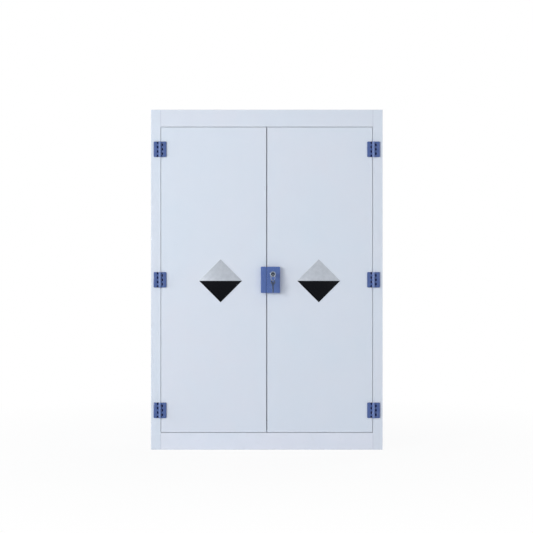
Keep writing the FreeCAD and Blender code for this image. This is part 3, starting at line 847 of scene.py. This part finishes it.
# The lock is two blue polypropylene mouldings, hollow from behind: the case on the right door holds
# the works, and the keeper on the left door takes the bolt. Both are screwed on from inside.
LOCK_BLUE = (78, 103, 162)
LOCK_SHADE = (68, 92, 152)
LOCK_LIT = (92, 116, 174)
LOCK_EASE = 0.0009
lock_plastic = moulded_finish("lock_plastic", LOCK_BLUE, LOCK_SHADE, LOCK_LIT)
eased_twin("lock_case", "right_door", lock_plastic, LOCK_EASE, segments=3)
eased_twin("lock_keeper", "left_door", lock_plastic, LOCK_EASE, segments=3)

# The lock's barrel is turned brass, plated with bright nickel, and sits in the case. Its flange
# shows the turning in fine rings. The plug inside it turns with the key and carries the cam.
RIM_START = 0.0085
RIM_END = 0.0122
RING_RELIEF = 0.000008
# The flange is bright only at its rim: inside it, and over the whole plug, the metal is painted
# dark as shade.
BARREL_BRIGHT = (156, 167, 182)
BARREL_PAINTED_SHADE = (80, 88, 102)
PLUG_PAINTED_DARK = (84, 88, 96)
PLUG_PAINTED_SHADE = (52, 58, 68)
BARREL_RING_PITCH = 0.0005
PLUG_RING_PITCH = 0.0003


def turned_finish(name, colour, centre_shade, ring_pitch, roughness):
    """Plated metal with fine rings round the key's axis, bright at the rim and painted dark inside
    as shade, with edges painted toward the outer colour as glints.
    """
    turned = Finish(name)
    low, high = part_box("lock_cylinder")
    across = turned.axis("X") - (low.x + high.x) / 2
    up = turned.axis("Z") - (low.z + high.z) / 2
    radius = (across * across + up * up) ** 0.5
    phase = radius * (2 * math.pi / ring_pitch)
    rings = turned.node("Math", {"operation": "SINE"}, {0: phase})
    smears = turned.patches(scale=220, detail=3, low=0.45, high=0.7)
    eased, edges = turned.rounded(STEEL_EDGE)
    rim = ((radius - RIM_START) / (RIM_END - RIM_START)).kept()
    body = turned.mixed(rim * (1 - smears * 0.3), tint(centre_shade), tint(colour))
    return turned.done({
        "Base Color": turned.mixed(edges * 0.4, body, tint(colour)),
        "Metallic": 1.0,
        "Roughness": roughness + smears * 0.14,
        "Normal": turned.bumped(rings * 0.5 + 0.5, RING_RELIEF, eased),
    })


barrel = turned_finish("bright_barrel", BARREL_BRIGHT, BARREL_PAINTED_SHADE, BARREL_RING_PITCH, 0.14)
plug = turned_finish("shaded_plug", PLUG_PAINTED_DARK, PLUG_PAINTED_SHADE, PLUG_RING_PITCH, 0.24)
dress(barrel, "lock_cylinder")
dress(plug, "key_plug")
dress(steel_finish("cam_steel", STEEL_COLOUR, roughness=0.3), "lock_cam")

# Two flat keys are stamped from nickel silver, and a steel split ring joins them. One key stands in
# the lock, edge on to the front, and the other hangs from the ring.
# The keys' metal is painted dark, as shade and dark reflections, and their edges pale, as glints.
DOOR_KEY_PAINTED_DARK = (80, 88, 106)
SPARE_KEY_PAINTED_DARK = (76, 86, 108)
KEY_WORN = (36, 44, 62)
KEY_EDGE_GLINT = (222, 226, 230)
KEY_EASE = 0.0003
KEY_BRIGHT_EDGE = 0.0004
BRUSH_RELIEF = 0.00003
BRUSHED_ALONG_Y = (2600, 90, 2600)
BRUSHED_ALONG_Z = (2600, 2600, 90)
RING_COLOUR = (190, 195, 202)
RING_WIRE = 0.0016
RING_YAW = math.radians(45)
RING_TURNS = 2
RING_SIDES = 64
WIRE_SIDES = 10


def key_finish(name, run, metal):
    """Stamped and tumbled metal, with brush marks along the key and darker hand wear, painted dark
    as shade, with edges painted pale as glints.
    """
    key = Finish(name)
    eased, edges = key.rounded(KEY_BRIGHT_EDGE)
    brushed = key.noise(scale=1, detail=3, place=key.stretched(*run))
    wear_and_highlight = key.patches(scale=90, detail=3, low=0.4, high=0.7)
    body = key.mixed(wear_and_highlight * 0.6, tint(metal), tint(KEY_WORN))
    return key.done({
        "Base Color": key.mixed(edges * 0.8, body, tint(KEY_EDGE_GLINT)),
        "Metallic": 1.0,
        "Roughness": 0.24 + brushed * 0.16 + wear_and_highlight * 0.1,
        "Normal": key.bumped(brushed, BRUSH_RELIEF, eased),
    })


door_key_metal = key_finish("door_key_metal", BRUSHED_ALONG_Y, DOOR_KEY_PAINTED_DARK)
spare_key_metal = key_finish("spare_key_metal", BRUSHED_ALONG_Z, SPARE_KEY_PAINTED_DARK)
eased_twin("door_key", "key", door_key_metal, KEY_EASE, segments=2)
eased_twin("spare_key", "spare_key", spare_key_metal, KEY_EASE, segments=2)
ring_low, ring_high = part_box("key_ring")
ring_middle = (ring_low + ring_high) / 2
ring_radius = (ring_high.z - ring_low.z) / 2 - RING_WIRE / 2
swing = Matrix.Rotation(RING_YAW, 4, "Z")
thin = Matrix.Diagonal((1, 1 / RING_TURNS, 1, 1))
turns = []
for turn in range(RING_TURNS):
    bpy.ops.object.select_all(action="DESELECT")
    bpy.ops.mesh.primitive_torus_add(
        major_segments=RING_SIDES,
        minor_segments=WIRE_SIDES,
        major_radius=ring_radius,
        minor_radius=RING_WIRE / 2,
        rotation=(math.radians(90), 0, 0),
    )
    loop = bpy.context.object
    bpy.ops.object.transform_apply(location=True, rotation=True, scale=True)
    offset = (turn - (RING_TURNS - 1) / 2) * RING_WIRE / RING_TURNS
    beside = Matrix.Translation((0, offset, 0))
    loop.data.transform(Matrix.Translation(ring_middle) @ swing @ beside @ thin)
    turns.append(loop)
split_ring = joined("split_ring", turns)
split_ring.data.materials.append(steel_finish("ring_steel", RING_COLOUR, roughness=0.16))
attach(split_ring, "key_ring")
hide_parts("key_ring")
bpy.data.objects.remove(screw)

# The photograph's setting: a seamless white sweep, soft lamps on the left, weaker ones on the right
# and behind, and a level camera far enough back that the front is seen square on.
FLOOR_RADIUS = 40.0
PHOTO_SPAN = 2.5866
CAMERA_DISTANCE = 6.0
CAMERA_X = -0.0015
CAMERA_Z = 0.889
SENSOR = 36.0
FLOOR_PALE = (236, 237, 239)
FLOOR_SPECK = (230, 231, 234)
NEAR_EDGE = 0.7
FADE_WIDTH = 1.6
NEAR_WHITE = 0.92
ROOM_LIGHT = 0.47
ROOM_TINT = (0.975, 0.98, 1.0, 1)
WHITE = (1, 1, 1, 1)


def sweep_finish():
    """Pale matt floor, seen as near white with the object's shadow left on it."""
    floor = Finish("pale_sweep")
    seen = floor.node("LightPath", {}, {}, "Is Camera Ray")
    for ray in ("Is Glossy Ray", "Is Transmission Ray"):
        seen = seen.sum_of("MAXIMUM", seen, floor.node("LightPath", {}, {}, ray))
    distance = (floor.axis("X") * floor.axis("X") + floor.axis("Y") * floor.axis("Y")) ** 0.5
    far = ((distance - NEAR_EDGE) / FADE_WIDTH).kept()
    speckle = floor.patches(scale=30, detail=2, low=0.3, high=0.7)
    colour = floor.mixed(speckle * 0.2, tint(FLOOR_PALE), tint(FLOOR_SPECK))
    matt = floor.node("BsdfDiffuse", {}, {"Color": colour})
    white = floor.node("Emission", {}, {"Color": WHITE})
    share = seen * (NEAR_WHITE + far * (1 - NEAR_WHITE))
    shader = floor.node("MixShader", {}, {0: share, 1: matt, 2: white})
    floor.node("OutputMaterial", {}, {"Surface": shader})
    return floor.material


bpy.ops.object.select_all(action="DESELECT")
bpy.ops.mesh.primitive_circle_add(vertices=96, radius=FLOOR_RADIUS, fill_type="NGON")
floor = bpy.context.object
floor.name = "floor"
floor.data.materials.append(sweep_finish())

world = bpy.data.worlds.new("studio")
world.use_nodes = True
bpy.context.scene.world = world
studio = world.node_tree
studio.nodes.clear()
soft = studio.nodes.new("ShaderNodeBackground")
soft.inputs["Color"].default_value = ROOM_TINT
soft.inputs["Strength"].default_value = ROOM_LIGHT
blank = studio.nodes.new("ShaderNodeBackground")
blank.inputs["Color"].default_value = WHITE
blank.inputs["Strength"].default_value = 1.0
path = studio.nodes.new("ShaderNodeLightPath")
choice = studio.nodes.new("ShaderNodeMixShader")
result = studio.nodes.new("ShaderNodeOutputWorld")
seen = path.outputs["Is Camera Ray"]
for ray in ("Is Glossy Ray", "Is Transmission Ray"):
    either = studio.nodes.new("ShaderNodeMath")
    either.operation = "MAXIMUM"
    studio.links.new(seen, either.inputs[0])
    studio.links.new(path.outputs[ray], either.inputs[1])
    seen = either.outputs[0]
studio.links.new(seen, choice.inputs[0])
studio.links.new(soft.outputs[0], choice.inputs[1])
studio.links.new(blank.outputs[0], choice.inputs[2])
studio.links.new(choice.outputs[0], result.inputs["Surface"])


def soft_light(name, watts, size, place, aim):
    """A softbox of a width and height that faces a point."""
    data = bpy.data.lights.new(name, "AREA")
    data.shape = "RECTANGLE"
    data.size, data.size_y = size
    data.energy = watts
    lamp = bpy.data.objects.new(name, data)
    bpy.context.scene.collection.objects.link(lamp)
    lamp.location = place
    lamp.rotation_euler = (Vector(aim) - Vector(place)).to_track_quat("-Z", "Y").to_euler()


soft_light("key_light", 230, (1.3, 2.3), place=(-5.3, -6.2, 2.6), aim=(0, -0.2, 0.95))
soft_light("front_light", 70, (0.6, 1.0), place=(-3.5, -8.0, 1.6), aim=(0, -0.2, 0.9))
soft_light("side_light", 80, (1.5, 2.6), place=(-6.0, -1.1, 1.2), aim=(0, -0.2, 0.85))
soft_light("fill_light", 24, (3.0, 2.4), place=(3.2, -5.0, 1.2), aim=(0, -0.2, 0.7))
soft_light("back_light", 115, (2.4, 2.4), place=(2.6, 5.2, 2.4), aim=(0, 0.2, 0.9))

camera_data = bpy.data.cameras.new("camera")
camera_data.sensor_width = SENSOR
camera_data.lens = SENSOR * CAMERA_DISTANCE / PHOTO_SPAN
camera = bpy.data.objects.new("camera", camera_data)
bpy.context.scene.collection.objects.link(camera)
camera.location = (CAMERA_X, seat_y - CAMERA_DISTANCE, CAMERA_Z)
camera.rotation_euler = (math.radians(90), 0, 0)
bpy.context.scene.camera = camera
bpy.context.scene.view_settings.view_transform = "Standard"
